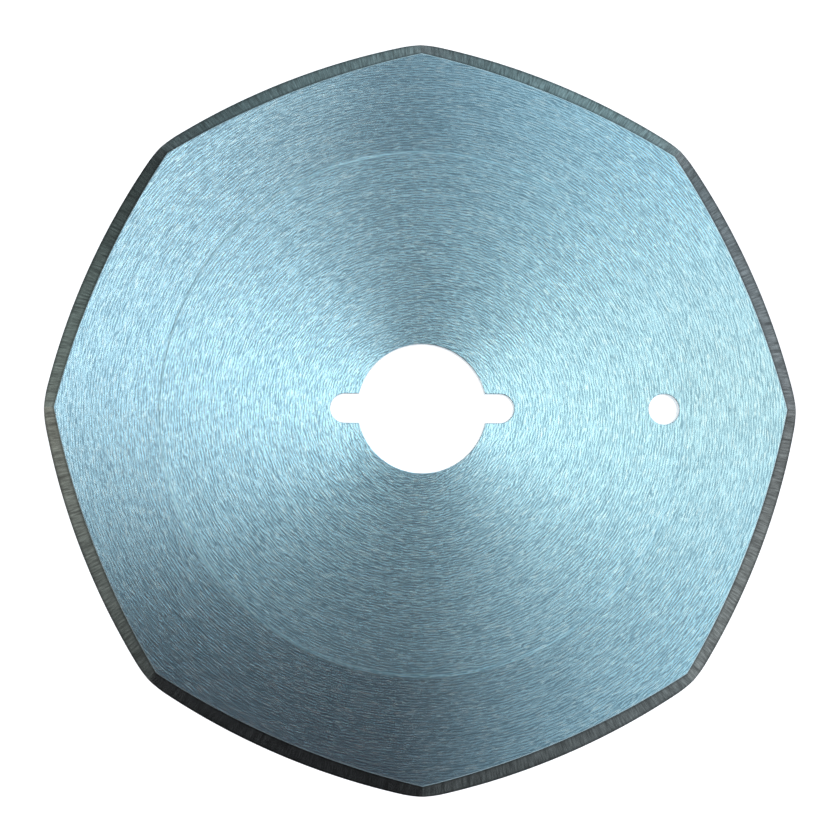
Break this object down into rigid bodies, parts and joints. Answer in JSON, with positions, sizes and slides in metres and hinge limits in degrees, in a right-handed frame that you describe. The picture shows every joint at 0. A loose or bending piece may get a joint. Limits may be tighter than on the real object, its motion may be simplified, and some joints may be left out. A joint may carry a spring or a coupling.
{
  "type": "rotary cutter blade",
  "caption": "Flat octagonal round-knife blade with bowed, single-bevelled sides, a notched central bore and an offset pin hole.",
  "frame": {"origin": "on the bore's axis, in the flat back face", "axes": "+Z along the bore's axis, out of the bevelled face; +X through the drive notches towards the pin hole"},
  "size_m": [0.1, 0.1, 0.0012],
  "materials": {
    "ground_steel": "rotary ground faces with a cool blue sheen, and a darker bevel ground across its width"
  },
  "bodies": {
    "root": {"rotary_blade": "ground_steel"}
  },
  "joints": []
}
